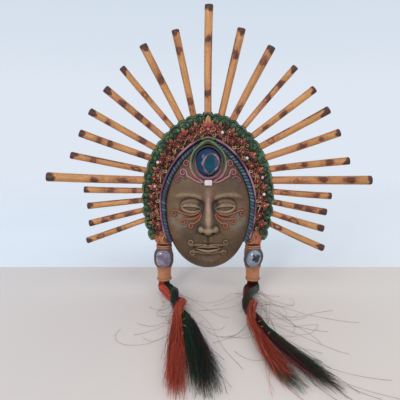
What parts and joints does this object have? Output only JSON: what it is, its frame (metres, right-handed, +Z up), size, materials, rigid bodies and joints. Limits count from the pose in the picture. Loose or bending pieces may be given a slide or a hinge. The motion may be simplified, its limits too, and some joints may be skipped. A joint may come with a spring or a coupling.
{
  "type": "wall mask",
  "caption": "Painted clay wall mask with a pointed floral headdress, a fan of burnt reeds, a forehead cabochon and two horsehair tassels hung from stone-set clay tubes.",
  "frame": {"origin": "where a wall nail carries the hanger wire's loop, on the plane of the wall behind the mask", "axes": "+Z up, +Y into the wall, +X to the right of someone looking at the mask; the face looks along -Y"},
  "size_m": [0.4504, 0.2412, 0.3958],
  "materials": {
    "clay_face": "matt fired clay, washed with thin grey-brown colour and rubbed back",
    "clay_headdress": "matt fired clay, washed dark brown",
    "paint_green": "matt green on clay with paler raised edges",
    "paint_rope": "matt navy and teal on twisted clay",
    "paint_mauve": "matt mauve on clay",
    "paint_red": "matt red on clay, rubbed back on the edges",
    "paint_ochre": "matt ochre on clay, rubbed back",
    "paint_pink": "matt pink on clay",
    "paint_orange": "matt orange-brown on clay",
    "bead_white": "satin white and pale pink beads",
    "gem_teal": "deep glossy teal-blue cabochon",
    "clay_terracotta": "matt terracotta clay",
    "bezel_dark": "matt dark clay",
    "stone_lavender": "polished mauve-grey agate",
    "stone_spotted": "polished pale stone with black spots",
    "reed": "dry reed, satin, with burnt ends and burnt spots",
    "hair_red": "dyed red horsehair",
    "hair_dark": "black and dark green horsehair",
    "wire_dark": "dark annealed wire"
  },
  "bodies": {
    "root": {"face_shell": "clay_face", "headdress_shell": "clay_headdress", "leaf_rim": "paint_green", "rope_border": "paint_rope", "cord_band": "paint_mauve", "rosettes": "paint_red", "ochre_leaves": "paint_ochre", "band_scrolls": "paint_ochre", "band_beads": "bead_white", "crown_leaf": "paint_ochre", "forehead_gem": "gem_teal", "gem_inlay": "paint_mauve", "gem_bezel": "paint_green", "forehead_scrolls": "paint_pink", "brow_bead": "bead_white", "eye_curls": "paint_orange", "lip_scrolls": "clay_face", "lappet_left": "clay_terracotta", "lappet_right": "clay_terracotta", "tube_left": "clay_terracotta", "tube_right": "clay_terracotta", "bezel_left": "bezel_dark", "bezel_right": "bezel_dark", "stone_left": "stone_lavender", "stone_right": "stone_spotted", "hanger_wire": "wire_dark", "reed_01": "reed", "reed_02": "reed", "reed_03": "reed", "reed_04": "reed", "reed_05": "reed", "reed_06": "reed", "reed_07": "reed", "reed_08": "reed", "reed_09": "reed", "reed_10": "reed", "reed_11": "reed", "reed_12": "reed", "reed_13": "reed", "reed_14": "reed", "reed_15": "reed", "reed_16": "reed", "reed_17": "reed", "reed_18": "reed", "reed_19": "reed", "reed_20": "reed", "reed_21": "reed", "reed_22": "reed", "reed_23": "reed", "reed_24": "reed", "reed_25": "reed"},
    "left_hair_root": {"hair_root_left": "hair_dark"},
    "left_tassel": {"hair_bend_left": "hair_dark", "red_strand_left": "hair_red", "dark_strand_left": "hair_dark"},
    "right_hair_root": {"hair_root_right": "hair_dark"},
    "right_tassel": {"hair_bend_right": "hair_dark", "red_strand_right": "hair_red", "dark_strand_right": "hair_dark"}
  },
  "joints": [
    {"name": "left_tassel_sway", "type": "hinge", "parent": "root", "child": "left_hair_root", "pos_m": [-0.061, -0.0125, -0.225], "axis": [0, 0, 1], "range_deg": [-25, 6]},
    {"name": "left_tassel_swing", "type": "hinge", "parent": "left_hair_root", "child": "left_tassel", "pos_m": [-0.061, -0.0125, -0.244], "axis": [0.9863, 0.165, 0], "range_deg": [-12, 88]},
    {"name": "right_tassel_sway", "type": "hinge", "parent": "root", "child": "right_hair_root", "pos_m": [0.063, -0.0125, -0.225], "axis": [0, 0, 1], "range_deg": [-6, 25]},
    {"name": "right_tassel_swing", "type": "hinge", "parent": "right_hair_root", "child": "right_tassel", "pos_m": [0.063, -0.0125, -0.244], "axis": [0.9863, 0.165, 0], "range_deg": [-12, 88]}
  ]
}
